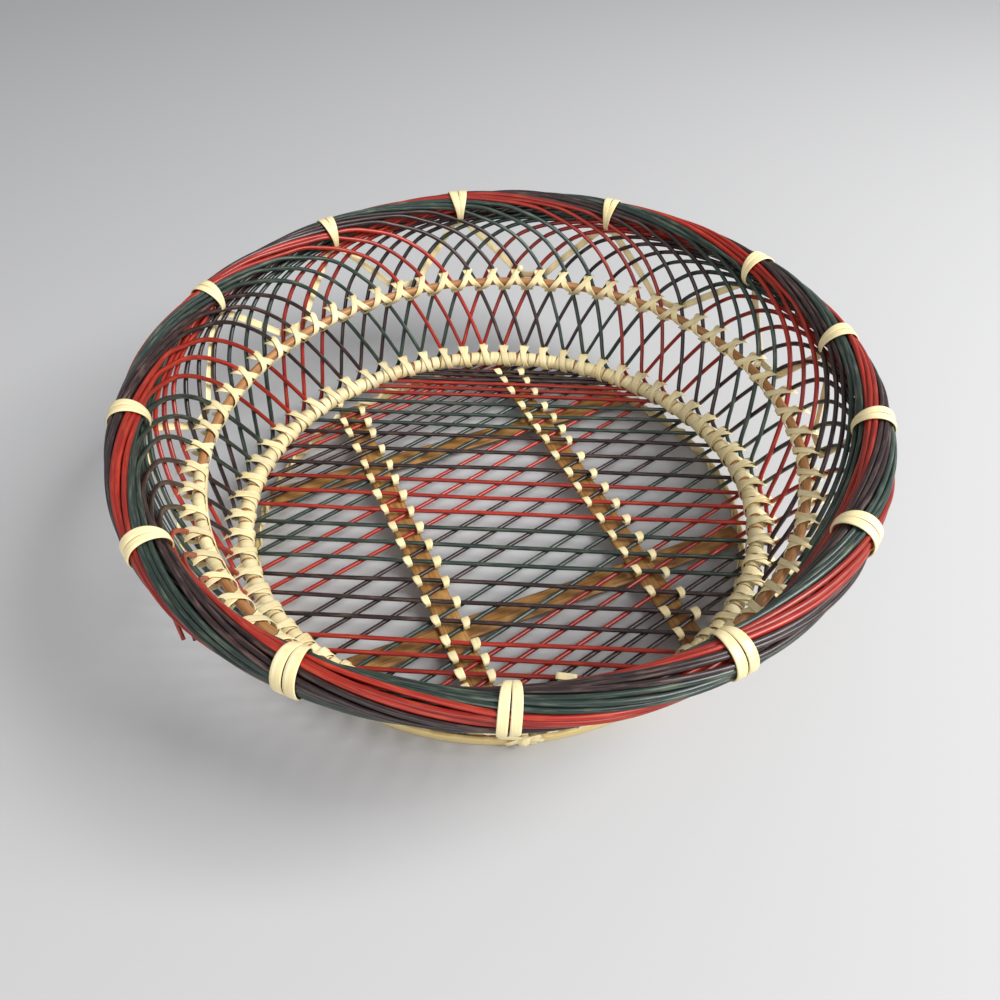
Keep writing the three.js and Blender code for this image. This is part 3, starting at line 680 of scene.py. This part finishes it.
base_circles = [[base_radius, base_height], INNER_COURSE[0, 1:]]
base_reaches = [BASE_HOOP_HALF + HOOP_SEAT, ROD_RADIUS + ROD_SEAT]
base_strands = []
for k in range(ROD_COUNT):
    lowest = FIRST_ROD_ANGLE - ROD_SPACING * k
    crossing = lowest + CROSSING + rng.uniform(-0.1, 0.1)
    tone = rng.uniform(0.2, 0.9)
    aside = rng.uniform(-0.15, 0.15)
    width = WRAP_WIDTH * rng.uniform(0.88, 1.08)
    slant = rng.uniform(-0.6, 0.6)
    wrap = loop_round(lowest + aside, base_circles, base_reaches, width, slant=slant, tone=tone)
    under_width, under_thickness = UNDER_WRAP
    # The turn at each crossing gets a low tone, 0.1, which darkens it: painted shade, since it lies under the
    # X and the crossing rods.
    under = loop_round(crossing, base_circles[:1], [BASE_HOOP_HALF], under_width, under_thickness, tone=0.1)
    base_strands += [wrap, under]
    for side in (1, -1):
        start = crossing - side * CROSSING
        width = ARM_WIDTH * rng.uniform(0.85, 1.15)
        lifted = rng.uniform(0, 0.1) + (CROSSED_OVER if side > 0 else 0)
        height = base_height + rng.uniform(-0.3, 0.3)
        wander = rng.uniform(-0.35, 0.35)
        arm = over_hoop(BASE_PROFILE, start, side, lifted, base_radius, height, width, tone, wander)
        base_strands.append(arm)
make_piece("base_lashing_cane", base_strands, PALE, ["base_lashing"])

# %% [markdown]
# ## Border ties
# Each tie is two turns of broad flat cane, side by side over the border and drawn together where they
# pass between the rods underneath. A turn is a closed ring here, because where the cane's ends are
# tucked in can't be seen. It is a circle round the border, and the pinch is a smooth bump of cosine in
# the turn's angle.

# %% Border ties
TIE_THICKNESS = 0.7
TIE_SEAT, TIE_GAP = 0.2, 0.15
PINCH_TURN, SLANT_TURN = 215, 60
PINCH_OUT, PINCH_CLOSE, PINCH_NARROW = 0.8, 0.75, 0.6
TIE_WIDTHS = [4.5, 3.6, 3.6, 3.7, 3.6, 3.8, 3.7, 3.2, 3.9, 3.7, 3.6, 3.7, 3.6]
TIE_ANGLES = [97, 65.4, 31.8, 7.4, -13.6, -36.5, -63, -89.2, -114, -143.2, -171.4, -205.2, -235.3]


def tie_turn(angle, width, side, slant, tone):
    """Angle about the basket = tie + side shift * (1 - close * pinch), where pinch is
    ((1 + cos(turn - pinch turn)) / 2)^2."""
    turn = np.arange(0, 360, 9.0)
    pinch = ((1 + np.cos(np.radians(turn - PINCH_TURN))) / 2) ** 2
    reach = ROLL_RADIUS + TIE_THICKNESS / 2 + TIE_SEAT + PINCH_OUT * pinch
    shift = side * (width / 2 + TIE_GAP) * (1 - PINCH_CLOSE * pinch) / rim_radius
    local = angle + np.degrees(shift) + slant * np.sin(np.radians(turn - SLANT_TURN))
    radius, height = in_border(turn, reach)
    path = with_shape(polar(local, radius, height))
    out = polar(local, np.cos(np.radians(turn)), np.sin(np.radians(turn)))
    scale = np.stack([np.ones_like(turn), 1 - PINCH_NARROW * pinch], axis=1)
    return carry(path, out, flat_section(TIE_THICKNESS, width), closed=True, scale=scale, tone=tone)


for i, (angle, width) in enumerate(zip(TIE_ANGLES, TIE_WIDTHS)):
    slant = rng.uniform(-0.35, 0.35)
    tone = rng.uniform(0.5, 0.95)
    turns = [tie_turn(angle, width, side, slant, tone) for side in (-1, 1)]
    make_piece(f"tie_{i + 1}", turns, PALE, [f"border_tie_{i + 1}"])

# %% [markdown]
# ## The brace
# Outside the wall one broad flat cane runs down from each tie to the middle hoop, a step along it and
# up to the next tie. It lies on the outer rods, so its distance from the axis follows theirs.

# %% Brace cane
BRACE_TOP = rim_height - ROLL_RADIUS - 1
BRACE_STANDS_OFF = ROD_RADIUS + 0.5
BRACE_WIDTH, BRACE_THICKNESS = 3.4, 0.6
BRACE_BESIDE_TIE = 1.2
BRACE_FACES_DOWN = -0.24


def brace_stretch(start, finish, from_height, to_height):
    """Angle and height in proportion; radius is the outer rods' at that height plus a stand-off."""
    share = np.linspace(0, 1, 14)
    height = from_height + (to_height - from_height) * share
    course_radius = np.interp(height, OUTER_COURSE[:, 2], OUTER_COURSE[:, 1])
    return with_shape(polar(start + (finish - start) * share, course_radius + BRACE_STANDS_OFF, height))


brace_path = []
for angle, following in zip(TIE_ANGLES, TIE_ANGLES[1:] + [TIE_ANGLES[0] - 360]):
    valley = (angle + following) / 2
    top_from, top_to = angle - BRACE_BESIDE_TIE, following + BRACE_BESIDE_TIE
    brace_path.append(brace_stretch(top_from, valley + CROSSING, BRACE_TOP, mid_height))
    brace_path.append(brace_stretch(valley - CROSSING, top_to, mid_height, BRACE_TOP))
brace_path = np.concatenate(brace_path)
from_axis = np.linalg.norm(brace_path[:, :2], axis=1, keepdims=True)
brace_out = brace_path * [1, 1, 0] + [0, 0, BRACE_FACES_DOWN] * from_axis
brace_section = flat_section(BRACE_THICKNESS, BRACE_WIDTH)
# Its tone is the highest, 1.0, so the brace is lighter than most cane: painted light, for the light that
# shines onto and through the thin strip.
brace = carry(brace_path, unit(brace_out), brace_section, closed=True, tone=1.0)
make_piece("brace_strip", [brace], PALE, ["brace_cane"])

# %% [markdown]
# ## The floor
# Two layers of rods lie across each other, in triples of one colour. They are laid by hand, so the
# triples aren't evenly spaced, those of the lower layer fan out a little, and each rod bows slightly.

# %% Floor rods
floor_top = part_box("floor_rods_red")[1].z / MM
MIDDLE_UNDER_TOP = 0.93
LAYERS_APART = 2.16
UPPER_ROD_HEIGHT = floor_top - MIDDLE_UNDER_TOP
LOWER_ROD_HEIGHT = UPPER_ROD_HEIGHT - LAYERS_APART
FLOOR_ROD_RADIUS = ROD_RADIUS - 0.02
FLOOR_ROD_END = 119.0
FLOOR_ROD_BOW, FLOOR_ROD_RISE = 0.55, 0.06
UPPER_DIRECTION = -4.8

# Each triple's colour, its middle rod's offset, and the step to the rods beside it
UPPER_TRIPLES = [
    ("purple", 98.5, 3.84), ("red", 86, 5.04), ("green", 65, 8.9), ("purple", 36.2, 11.5), ("red", 5, 10),
    ("green", -25.3, 9.9), ("purple", -56.1, 10.2), ("red", -83.2, 7.2), ("green", -100.5, 3.5),
]
LOWER_TRIPLES = [
    ("red", 95.8, 4.6), ("purple", 77.4, 6.5), ("green", 54.3, 8.9), ("red", 24.2, 11.4),
    ("purple", -10, 11.3), ("green", -44.3, 10.5), ("red", -71, 8.8), ("purple", -92.5, 6),
]
LOWER_DIRECTIONS = [33.2, 34.6, 36.2, 36.8, 36.8, 36.4, 35.6, 35.2]


def along_floor(direction, offset, distance, height):
    """A point so far along a direction, and so far to its left, at a height."""
    turn = math.radians(direction)
    ahead = np.array([math.cos(turn), math.sin(turn), 0])
    left = np.array([-math.sin(turn), math.cos(turn), 0])
    distance, offset, height = np.broadcast_arrays(distance, offset, height)
    return distance[:, None] * ahead + offset[:, None] * left + height[:, None] * [0, 0, 1]


def floor_rod(direction, offset, height, seed):
    """A straight rod that bows sideways by a slow sway. It ends under the base hoop, wherever that is."""
    half = math.sqrt(FLOOR_ROD_END**2 - offset**2)
    waves, _ = ring_shares(along_floor(direction, offset, np.array([-half, half]), height))
    outward = (waves @ OUTWARD_WAVES[0]) * FLOOR_ROD_END / half
    distance = np.linspace(-half - outward[0], half + outward[1], 60)
    bow = offset + FLOOR_ROD_BOW * sway(seed, distance, 260)
    path = along_floor(direction, bow, distance, height + FLOOR_ROD_RISE * sway(seed + 1, distance, 120))
    up = np.broadcast_to([0.0, 0.0, 1.0], path.shape)
    tone = np.random.default_rng(seed).uniform(0, 1)
    return carry(path, up, round_section(FLOOR_ROD_RADIUS), tone=tone)


floor_strands = {"red": [], "green": [], "purple": []}
upper_offsets = []
for colour, middle, step in UPPER_TRIPLES:
    for offset in (middle + step, middle, middle - step):
        upper_offsets.append(offset)
        seed = 7000 + len(upper_offsets) * 7
        floor_strands[colour].append(floor_rod(UPPER_DIRECTION, offset, UPPER_ROD_HEIGHT, seed))
for i, ((colour, middle, step), direction) in enumerate(zip(LOWER_TRIPLES, LOWER_DIRECTIONS)):
    for j in (0, 1, 2):
        offset = middle + (1 - j) * step
        seed = 8000 + 21 * i + 7 * j
        floor_strands[colour].append(floor_rod(direction, offset, LOWER_ROD_HEIGHT, seed))
for colour, strands in floor_strands.items():
    make_piece(f"floor_{colour}", strands, FINISHES[colour], [f"floor_rods_{colour}"])

# %% [markdown]
# The slats are split from thick rattan: flat below, with a low crown above, so their section is a flat
# ellipse whose lower half is squashed.

# %% Slats
UPPER_SLAT_DIRECTIONS = (-67.4, -68.0)
LOWER_SLAT_DIRECTION = 21.5
UPPER_SLAT_OFFSETS = (-43.9, 45.2)
LOWER_SLAT_OFFSETS = (-54.5, 54)
SLAT_WIDTH = 10.8
SLAT_OVER_FOOT = 0.6


def slat_section(width, thickness, sides=20):
    """Outward |cos|^0.7 above and |cos|^0.4 below, so that the back is flatter than the skin side."""
    turn = (np.arange(sides) + 0.5) * 2 * np.pi / sides
    power = np.where(np.cos(turn) > 0, 0.7, 0.4)
    outward = np.sign(np.cos(turn)) * np.abs(np.cos(turn)) ** power * thickness / 2
    sideways = np.sign(np.sin(turn)) * np.abs(np.sin(turn)) ** 0.6 * width / 2
    return np.stack([outward, sideways], axis=1)


def slat(node, direction, offset, tone):
    """A bar under the floor at the node's height and thickness, ending on the foot hoop."""
    low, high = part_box(node)
    half = math.sqrt((foot_radius + SLAT_OVER_FOOT) ** 2 - (abs(offset) + SLAT_WIDTH / 2) ** 2)
    distance = np.linspace(-half, half, 40)
    path = along_floor(direction, offset, distance, (low.z + high.z) / 2 / MM)
    up = np.broadcast_to([0.0, 0.0, 1.0], path.shape)
    return carry(path, up, slat_section(SLAT_WIDTH, (high.z - low.z) / MM), tone=tone)


for i in (0, 1):
    upper = slat(f"upper_slat_{i + 1}", UPPER_SLAT_DIRECTIONS[i], UPPER_SLAT_OFFSETS[i], 0.6 - 0.2 * i)
    lower = slat(f"lower_slat_{i + 1}", LOWER_SLAT_DIRECTION, LOWER_SLAT_OFFSETS[i], 0.3 + 0.2 * i)
    make_piece(f"slat_over_{i + 1}", [upper], SLAT, [f"upper_slat_{i + 1}"])
    make_piece(f"slat_under_{i + 1}", [lower], SLAT, [f"lower_slat_{i + 1}"])

# %% [markdown]
# Each stitch is a short piece of cane that comes up at the slat's edge, passes over one upper rod and
# goes down again. From above it is a small pale square on nearly every rod, in two rows a slat apart.
# It can be made alone, as half an ellipse, since its ends go out of sight between the rods.

# %% Slat stitches
STITCH_WIDTH = 3.5
STITCH_THICKNESS = 0.5
STITCH_REACH = 2.3
STITCH_LEAN, STITCH_TAPER = 0.5, 0.25
STITCH_DIVES = 3.0
STITCHES_APART = 6.0
STITCH_ROW = SLAT_WIDTH / 2 + 0.3
CLEAR_OF_HOOP = 2


def where_crossed(direction, edge, rod_offset):
    """How far along a slat's direction a line beside it, at an offset of edge, crosses an upper rod."""
    turn = math.radians(direction - UPPER_DIRECTION)
    return (rod_offset - edge * math.cos(turn)) / math.sin(turn)


def stitch(direction, edge, inward, rod_offset, seed):
    """Half an ellipse over the rod, x = reach cos t, z = r sin t. Its front narrows and leans inward."""
    jitter = np.random.default_rng(seed)
    arch = np.radians(np.linspace(-30, 210, 17))
    middle = where_crossed(direction, edge, rod_offset) + jitter.uniform(-0.4, 0.4)
    distance = middle + STITCH_REACH * np.cos(arch)
    front = np.maximum(np.cos(arch), 0) ** 2
    lean = STITCH_LEAN * inward * front
    depth = np.minimum(np.sin(arch), 0) * STITCH_DIVES
    height = UPPER_ROD_HEIGHT + (ROD_RADIUS + ROD_SEAT) * np.sin(arch) + depth
    path = along_floor(direction, edge + jitter.uniform(-0.4, 0.4) + lean, distance, height)
    ahead = along_floor(direction, 0.0, np.cos(arch), np.sin(arch) * 1.4)
    width = STITCH_WIDTH + jitter.uniform(-0.4, 0.4)
    taper = np.stack([np.ones_like(front), 1 - STITCH_TAPER * front], axis=1)
    section = flat_section(STITCH_THICKNESS, width, 10)
    return carry(path, unit(ahead), section, scale=taper, tone=jitter.uniform(0.3, 1))


for i, (direction, offset) in enumerate(zip(UPPER_SLAT_DIRECTIONS, UPPER_SLAT_OFFSETS)):
    for j, inward in enumerate((1, -1)):
        edge = offset - inward * STITCH_ROW
        row = 2 * i + j + 1
        stitches = []
        stitched = FLOOR_ROD_END + STITCHES_APART
        for k, rod_offset in enumerate(upper_offsets):
            crossed = np.array([where_crossed(direction, edge, rod_offset)])
            place = along_floor(direction, edge, crossed, 0.0)
            waves, _ = ring_shares(place)
            reach = base_radius - BASE_HOOP_HALF - CLEAR_OF_HOOP + (waves @ OUTWARD_WAVES[0])[0]
            if np.linalg.norm(place) < reach and stitched - rod_offset >= STITCHES_APART:
                stitched = rod_offset
                stitches.append(stitch(direction, edge, inward, rod_offset, 9000 + 100 * row + k))
        make_piece(f"stitches_{row}", stitches, PALE, [f"slat_stitching_{row}"])

# %% [markdown]
# ## The lacing of the foot hoop
# A flat cane holds the foot hoop to the base hoop. It zigzags between them, inside the foot hoop, and
# at a few places it goes round the foot hoop. Most of it is out of sight, so it is kept plain.

# %% Foot lacing
LACING_TEETH = 42
LACING_TURNS = [-86.5, -84.2, -45, -8, 28, 66, 104, 142, 176, 214, 238]
LACING_THICKNESS = 0.5
LACING_TURN_WIDTH, ZIGZAG_WIDTH = 2.6, 2.4
CORNER_RADIUS, CORNER_ASIDE = 0.5, 0.8
CORNER_DOWN, CORNER_LIFTED = 0.3, 0.45
ZIGZAG_TOP, ZIGZAG_TALL, ZIGZAG_INSIDE = 7.9, 5.9, 2.0
POINTS_PER_TOOTH = 8


def lacing_turn(angle, tone):
    """A band round the foot hoop's upright section, pulled tight over circles at its four corners."""
    half = FOOT_TALL / 2 - CORNER_DOWN
    low, high = foot_height - half + CORNER_LIFTED, foot_height + half
    inner, outer = foot_radius - CORNER_ASIDE, foot_radius + CORNER_ASIDE
    corners = [[inner, low], [outer, low], [inner, high], [outer, high]]
    return loop_round(angle, corners, [CORNER_RADIUS] * 4, LACING_TURN_WIDTH, LACING_THICKNESS, tone=tone,
                      shaped=False)


lacing_strands = [lacing_turn(angle, rng.uniform(0.3, 0.9)) for angle in LACING_TURNS]
step = 360 / LACING_TEETH
zigzag_angle = FIRST_ROD_ANGLE + np.arange(0, 360, step / POINTS_PER_TOOTH)
wave = np.abs(((np.arange(len(zigzag_angle)) / POINTS_PER_TOOTH) % 1) * 2 - 1)
zigzag_height = ZIGZAG_TOP - ZIGZAG_TALL * wave
zigzag_path = polar(zigzag_angle, foot_radius - ZIGZAG_INSIDE, zigzag_height)
zigzag_out = polar(zigzag_angle, 1.0, 0 * zigzag_angle)
zigzag_section = flat_section(LACING_THICKNESS, ZIGZAG_WIDTH)
lacing_strands.append(carry(zigzag_path, zigzag_out, zigzag_section, closed=True, tone=0.6))
make_piece("foot_lacing_cane", lacing_strands, PALE, ["foot_lacing"])

# %% [markdown]
# ## Joint, knots and loose ends
# The real middle hoop's two ends lap at the left, where cane is wound round them without a gap and one
# strand runs on over the windings. The hoop here is closed, since the lap is out of sight under the
# cane, and the windings are closed turns side by side, as on the base hoop.

# %% Hoop joint
JOINT_FROM, JOINT_TO, JOINT_STEP = -171, -146, 1.45
JOINT_THICKNESS = 0.4
JOINT_SEAT, JOINT_TURN_WIDTH = 0.22, 3.2
OVER_WIDTH, OVER_INSIDE, OVER_DOWN, OVER_DRIFT = 2.6, 2.95, 0.4, 0.5
joint_middle, joint_reach = [[mid_radius, hoop_height]], [MID_ROD_RADIUS + JOINT_SEAT]
joint_strands = []
for angle in np.arange(JOINT_FROM, JOINT_TO, JOINT_STEP):
    slant = rng.uniform(-0.5, 0.5)
    tone = rng.uniform(0.1, 0.8)
    turn = loop_round(angle, joint_middle, joint_reach, JOINT_TURN_WIDTH, JOINT_THICKNESS, slant, tone)
    joint_strands.append(turn)
over_angle = np.linspace(JOINT_FROM - 2, JOINT_TO + 3, 40)
over_drift = OVER_DRIFT * sway(77, over_angle, 20)
over_path = with_shape(polar(over_angle, mid_radius - OVER_INSIDE, hoop_height - OVER_DOWN + over_drift))
over_out = polar(over_angle, -1.0, 0 * over_angle)
joint_strands.append(carry(over_path, over_out, flat_section(JOINT_THICKNESS, OVER_WIDTH), tone=0.8))
make_piece("hoop_joint_cane", joint_strands, PALE)

# %% [markdown]
# A knot is three turns of cane about one point, each tilted its own way, because its real course is
# too small to make out. Two straight strands cross at the knot in front, two rods end just under the
# border at the left, and one short end of cane lies on the floor rods.

# %% Knots and loose ends
TIP_THICKNESS = 0.5
KNOT_WIDTH, END_WIDTH, TAG_WIDTH = 2.3, 2.4, 3.2
IN_FRONT_OF_FOOT = 2.4
ROD_END_RADIUS = 0.65


def knot(place, size, seed):
    """Three closed turns, each centre + size (a cos t + b sin t), with a and b square to each other."""
    jitter = np.random.default_rng(seed)
    turns = np.radians(np.arange(0, 360, 18.0))[:, None]
    loops = []
    for _ in range(3):
        tilt, _ = np.linalg.qr(jitter.normal(size=(3, 3)))
        ring = np.cos(turns) * tilt[0] + np.sin(turns) * tilt[1]
        path = np.asarray(place) + size * jitter.uniform(0.8, 1.1) * ring
        loops.append(carry(path, ring, flat_section(TIP_THICKNESS, KNOT_WIDTH), closed=True,
                           tone=jitter.uniform(0.5, 1)))
    return loops


# Angle, radius, height and size of each knot
KNOTS = [(83.5, 123.8, 63.2, 1.15), (17.7, 125.4, 61.8, 1.15), (-86.0, foot_radius + 2.2, 6.0, 2.0),
         (138.3, 112.0, 13.0, 1.8)]
knot_strands = []
for i, (angle, radius, height, size) in enumerate(KNOTS):
    knot_strands += knot(polar(angle, radius, height), size, 600 + i)
make_piece("knots", knot_strands, PALE)


def straight(start, finish, section, facing, tone):
    """A short straight strand between two points."""
    path = np.linspace(start, finish, 6)
    return carry(path, np.broadcast_to(np.asarray(facing, float), path.shape), section, tone=tone)


# Angle, radius and height where each rod end leaves the border, and at its tip
ROD_ENDS = {
    "red": [(-132.4, 148.6, 86), (-129.9, 151.0, 78)],
    "purple": [(-129.4, 147.6, 86), (-128.2, 149.4, 80)],
}
for colour, (top, tip) in ROD_ENDS.items():
    end_tip = straight(polar(*top), polar(*tip), round_section(ROD_END_RADIUS), (1, 0, 0), 0.4)
    make_piece(f"rod_end_{colour}", [end_tip], FINISHES[colour])

# Angle and height of the two ends of each strand across the knot in front
KNOT_ENDS = [((-91.0, 9.5), (-82.5, 4.5)), ((-89.5, 3.6), (-83.0, 8.5))]
end_section = flat_section(TIP_THICKNESS, END_WIDTH)
loose_strands = []
for knot_end in KNOT_ENDS:
    start, finish = (polar(angle, foot_radius + IN_FRONT_OF_FOOT, height) for angle, height in knot_end)
    loose_strands.append(straight(start, finish, end_section, (0, -1, 0), 0.9))
lie = UPPER_ROD_HEIGHT + ROD_RADIUS + 0.3
tag_section = flat_section(TIP_THICKNESS, TAG_WIDTH)
tag = straight((20.8, -91.8, lie), (29.0, -93.2, lie), tag_section, (0, 0, 1), 0.9)
make_piece("cane_ends", [tag, *loose_strands], PALE)

# %% [markdown]
# ## Floor, light and camera
# The basket stands on a plain pale floor, one large square far wider than the view. It isn't part of the
# basket.

# %% Pale floor
floor_material = bpy.data.materials.new("pale_floor")
floor_material.use_nodes = True
floor_shader = floor_material.node_tree.nodes["Principled BSDF"]
floor_shader.inputs["Base Color"].default_value = (0.5, 0.5, 0.5, 1)
floor_shader.inputs["Roughness"].default_value = 0.9
FLOOR_HALF = 3.0
floor_mesh = bpy.data.meshes.new("floor")
corners = [(-FLOOR_HALF, -FLOOR_HALF, 0), (FLOOR_HALF, -FLOOR_HALF, 0),
           (FLOOR_HALF, FLOOR_HALF, 0), (-FLOOR_HALF, FLOOR_HALF, 0)]
floor_mesh.from_pydata(corners, [], [(0, 1, 2, 3)])
floor_mesh.materials.append(floor_material)
floor = bpy.data.objects.new("floor", floor_mesh)
bpy.context.scene.collection.objects.link(floor)
print("floor", 2 * FLOOR_HALF, "metres wide")

# %% [markdown]
# The light is soft: a broad lamp from the right and a little in front, as by a window, a weaker one
# from behind the camera, and an even world that keeps the shadows open.

# %% Lamps and world
LAMP_AIM = Vector((0, 0, 0.05))


def soft_lamp(name, place, size, power):
    """A square area lamp at a place, turned to look at the basket."""
    light = bpy.data.lights.new(name, "AREA")
    light.size = size
    light.energy = power
    lamp = bpy.data.objects.new(name, light)
    lamp.location = place
    lamp.rotation_euler = (LAMP_AIM - Vector(place)).to_track_quat("-Z", "Y").to_euler()
    bpy.context.scene.collection.objects.link(lamp)


soft_lamp("window", (1.05, -0.25, 1.1), size=0.7, power=30)
soft_lamp("fill", (-0.4, -1.2, 0.8), size=1.0, power=7)
world = bpy.data.worlds.new("even_light")
world.use_nodes = True
world.node_tree.nodes["Background"].inputs["Color"].default_value = (0.95, 0.96, 1.0, 1)
world.node_tree.nodes["Background"].inputs["Strength"].default_value = 0.42
bpy.context.scene.world = world
print("lamps", [lamp.name for lamp in bpy.data.lights])

# %% [markdown]
# The camera stands close to the basket and looks down at it. Its place, in metres, its three turns, in
# radians, and its lens were worked out from the lashings of the two hoops, which are evenly spaced.

# %% Camera
FOCAL_PIXELS = 783.98
FRAME_PIXELS = 1000
SENSOR_WIDTH = 36
NEAREST_SEEN = 0.01
CAMERA_PLACE = Vector((0, -0.25134, 0.27968))
YAW, PITCH, ROLL = 0.0031, 0.8111, -0.0183
ahead = Vector((math.sin(YAW) * math.cos(PITCH), math.cos(YAW) * math.cos(PITCH), -math.sin(PITCH)))
level_right = Vector((math.cos(YAW), -math.sin(YAW), 0))
level_up = level_right.cross(ahead)
right = level_right * math.cos(ROLL) + level_up * math.sin(ROLL)
up = level_up * math.cos(ROLL) - level_right * math.sin(ROLL)
camera_data = bpy.data.cameras.new("camera")
camera_data.sensor_fit = "HORIZONTAL"
camera_data.sensor_width = SENSOR_WIDTH
camera_data.lens = FOCAL_PIXELS * SENSOR_WIDTH / FRAME_PIXELS
camera_data.clip_start = NEAREST_SEEN
camera = bpy.data.objects.new("camera", camera_data)
columns = [[*right, 0], [*up, 0], [*(-ahead), 0], [*CAMERA_PLACE, 1]]
camera.matrix_world = Matrix(columns).transposed()
bpy.context.scene.collection.objects.link(camera)
bpy.context.scene.camera = camera
bpy.context.scene.view_settings.view_transform = "Standard"
print("lens", round(camera_data.lens, 1), "mm, looking down at", round(math.degrees(PITCH), 1), "degrees")
